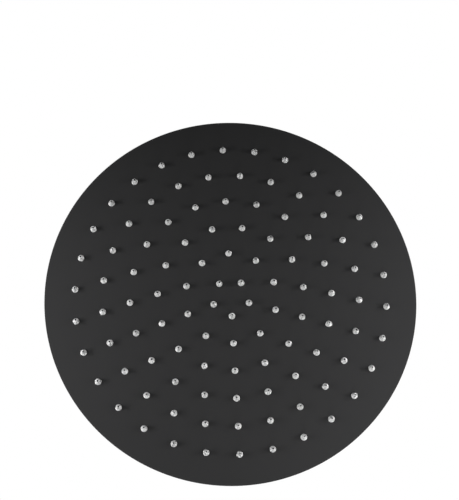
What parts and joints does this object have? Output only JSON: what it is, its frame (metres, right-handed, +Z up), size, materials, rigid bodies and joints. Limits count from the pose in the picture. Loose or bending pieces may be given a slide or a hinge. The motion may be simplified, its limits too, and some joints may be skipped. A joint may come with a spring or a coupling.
{
  "type": "rain shower head",
  "caption": "Slim round rain shower head with a ball joint, a threaded inlet socket on top and rings of soft nozzles under a flat spray face.",
  "frame": {"origin": "on the inlet's axis, where the inlet thread starts below its lead-in chamfer", "axes": "+Z up along the inlet's axis, out of the socket; the disc lies level in X and Y below it and sprays towards -Z; the nozzle that every ring shares a radial line with lies towards -Y"},
  "size_m": [0.3, 0.3, 0.052],
  "materials": {
    "coated_steel": "matte black powder coat on stainless sheet",
    "coated_brass": "matte black coat on turned brass",
    "clear_silicone": "translucent silicone, soft sheen",
    "black_rubber": "smooth moulded rubber",
    "black_nylon": "moulded nylon, dyed black",
    "regulator_plastic": "moulded acetal",
    "steel_mesh": "woven stainless wire"
  },
  "bodies": {
    "inlet": {"ball_nut": "coated_brass", "inlet_washer": "black_rubber", "filter_screen": "steel_mesh", "regulator_body": "regulator_plastic", "regulator_side_ring": "black_rubber", "regulator_control_ring": "black_rubber"},
    "seal": {"seal_cup": "black_rubber"},
    "liner": {"friction_ring": "black_nylon"},
    "head": {"collar": "coated_brass", "hub": "coated_brass", "back_plate": "coated_steel", "face_plate": "coated_steel", "nozzle_mat": "clear_silicone"}
  },
  "joints": [
    {"name": "swivel", "type": "hinge", "parent": "inlet", "child": "seal", "pos_m": [0, 0, -0.02481], "axis": [0, 0, 1], "continuous": true},
    {"name": "tilt_x", "type": "hinge", "parent": "seal", "child": "liner", "pos_m": [0, 0, -0.02481], "axis": [1, 0, 0], "range_deg": [-8, 8]},
    {"name": "tilt_y", "type": "hinge", "parent": "liner", "child": "head", "pos_m": [0, 0, -0.02481], "axis": [0, 1, 0], "range_deg": [-8, 8]}
  ]
}
